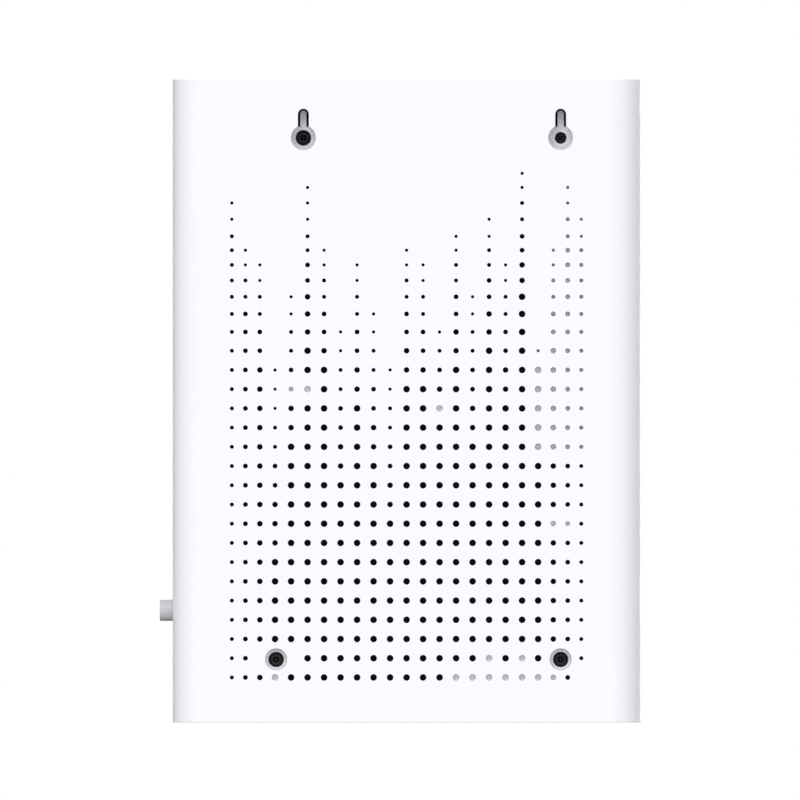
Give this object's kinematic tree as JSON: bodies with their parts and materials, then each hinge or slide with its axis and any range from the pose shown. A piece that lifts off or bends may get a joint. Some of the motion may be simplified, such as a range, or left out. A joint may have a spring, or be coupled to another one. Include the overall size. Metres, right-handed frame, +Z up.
{
  "type": "wireless router",
  "caption": "Slim upright wireless router in a split white case with a vented back, wall keyholes, a side power button and network sockets in its bottom end.",
  "frame": {"origin": "centre of the case's bottom end face", "axes": "+Z up along the case, front faces -Y, perforated back faces +Y, power button on +X"},
  "size_m": [0.1644, 0.033, 0.22],
  "materials": {
    "white_case": "fine satin moulded ABS",
    "grey_button": "light grey semi-gloss",
    "white_plastic": "plain moulded",
    "black_plastic": "moulded, fine grain",
    "black_steel": "black zinc",
    "solder_mask": "dark solder mask over glass fibre board",
    "tinned_steel": "tin plated sheet",
    "aluminium": "extruded",
    "clear_plastic": "clear light guide",
    "led_resin": "cast resin",
    "chip_resin": "moulded epoxy",
    "silicone_pad": "soft pad",
    "capacitor_sleeve": "shrink sleeve",
    "ferrite": "sintered",
    "brass": "plated pin",
    "antenna_board": "solder mask with copper tracks",
    "lead_jacket": "thin coaxial jacket"
  },
  "bodies": {
    "housing": {"antenna_1": "antenna_board", "antenna_2": "antenna_board", "antenna_3": "antenna_board", "antenna_4": "antenna_board", "antenna_carrier": "white_plastic", "antenna_lead_1": "lead_jacket", "antenna_lead_2": "lead_jacket", "antenna_lead_3": "lead_jacket", "antenna_lead_4": "lead_jacket", "back_cover": "white_case", "board_screw_1": "black_steel", "board_screw_2": "black_steel", "board_screw_3": "black_steel", "capacitor_1": "capacitor_sleeve", "capacitor_2": "capacitor_sleeve", "capacitor_3": "capacitor_sleeve", "case_screw_1": "black_steel", "case_screw_2": "black_steel", "case_screw_3": "black_steel", "case_screw_4": "black_steel", "dc_jack": "black_plastic", "dc_jack_pin": "brass", "flash_chip": "chip_resin", "front_cover": "white_case", "heat_sink": "aluminium", "inductor_1": "ferrite", "inductor_2": "ferrite", "lan_jack_1": "tinned_steel", "lan_jack_2": "tinned_steel", "lan_transformer_1": "chip_resin", "lan_transformer_2": "chip_resin", "light_pipe": "clear_plastic", "main_board": "solder_mask", "main_processor": "chip_resin", "main_shield_can": "tinned_steel", "memory_chip": "chip_resin", "port_panel": "black_plastic", "power_switch": "black_plastic", "radio_shield_can_1": "tinned_steel", "radio_shield_can_2": "tinned_steel", "reset_switch": "black_plastic", "status_led_1": "led_resin", "status_led_2": "led_resin", "status_led_3": "led_resin", "status_led_4": "led_resin", "switch_chip": "chip_resin", "thermal_pad": "silicone_pad", "usb_port": "tinned_steel", "usb_tongue": "white_plastic", "wan_jack": "tinned_steel", "wan_transformer": "chip_resin", "wps_switch": "black_plastic"},
    "power_button": {"power_button": "grey_button", "power_switch_plunger": "white_plastic"},
    "wps_button": {"wps_button": "grey_button", "wps_switch_plunger": "white_plastic"},
    "reset_button": {"reset_plunger": "white_plastic"}
  },
  "joints": [
    {"name": "power_button_slide", "type": "slide", "parent": "housing", "child": "power_button", "axis": [-1, 0, 0], "range_m": [0, 0.0025], "stiffness_N_per_m": 250, "springref_m": -0.002},
    {"name": "wps_button_slide", "type": "slide", "parent": "housing", "child": "wps_button", "axis": [0, 0, 1], "range_m": [0, 0.0005], "stiffness_N_per_m": 250, "springref_m": -0.001},
    {"name": "reset_button_slide", "type": "slide", "parent": "housing", "child": "reset_button", "axis": [0, 0, 1], "range_m": [0, 0.0004], "stiffness_N_per_m": 250, "springref_m": -0.001}
  ]
}
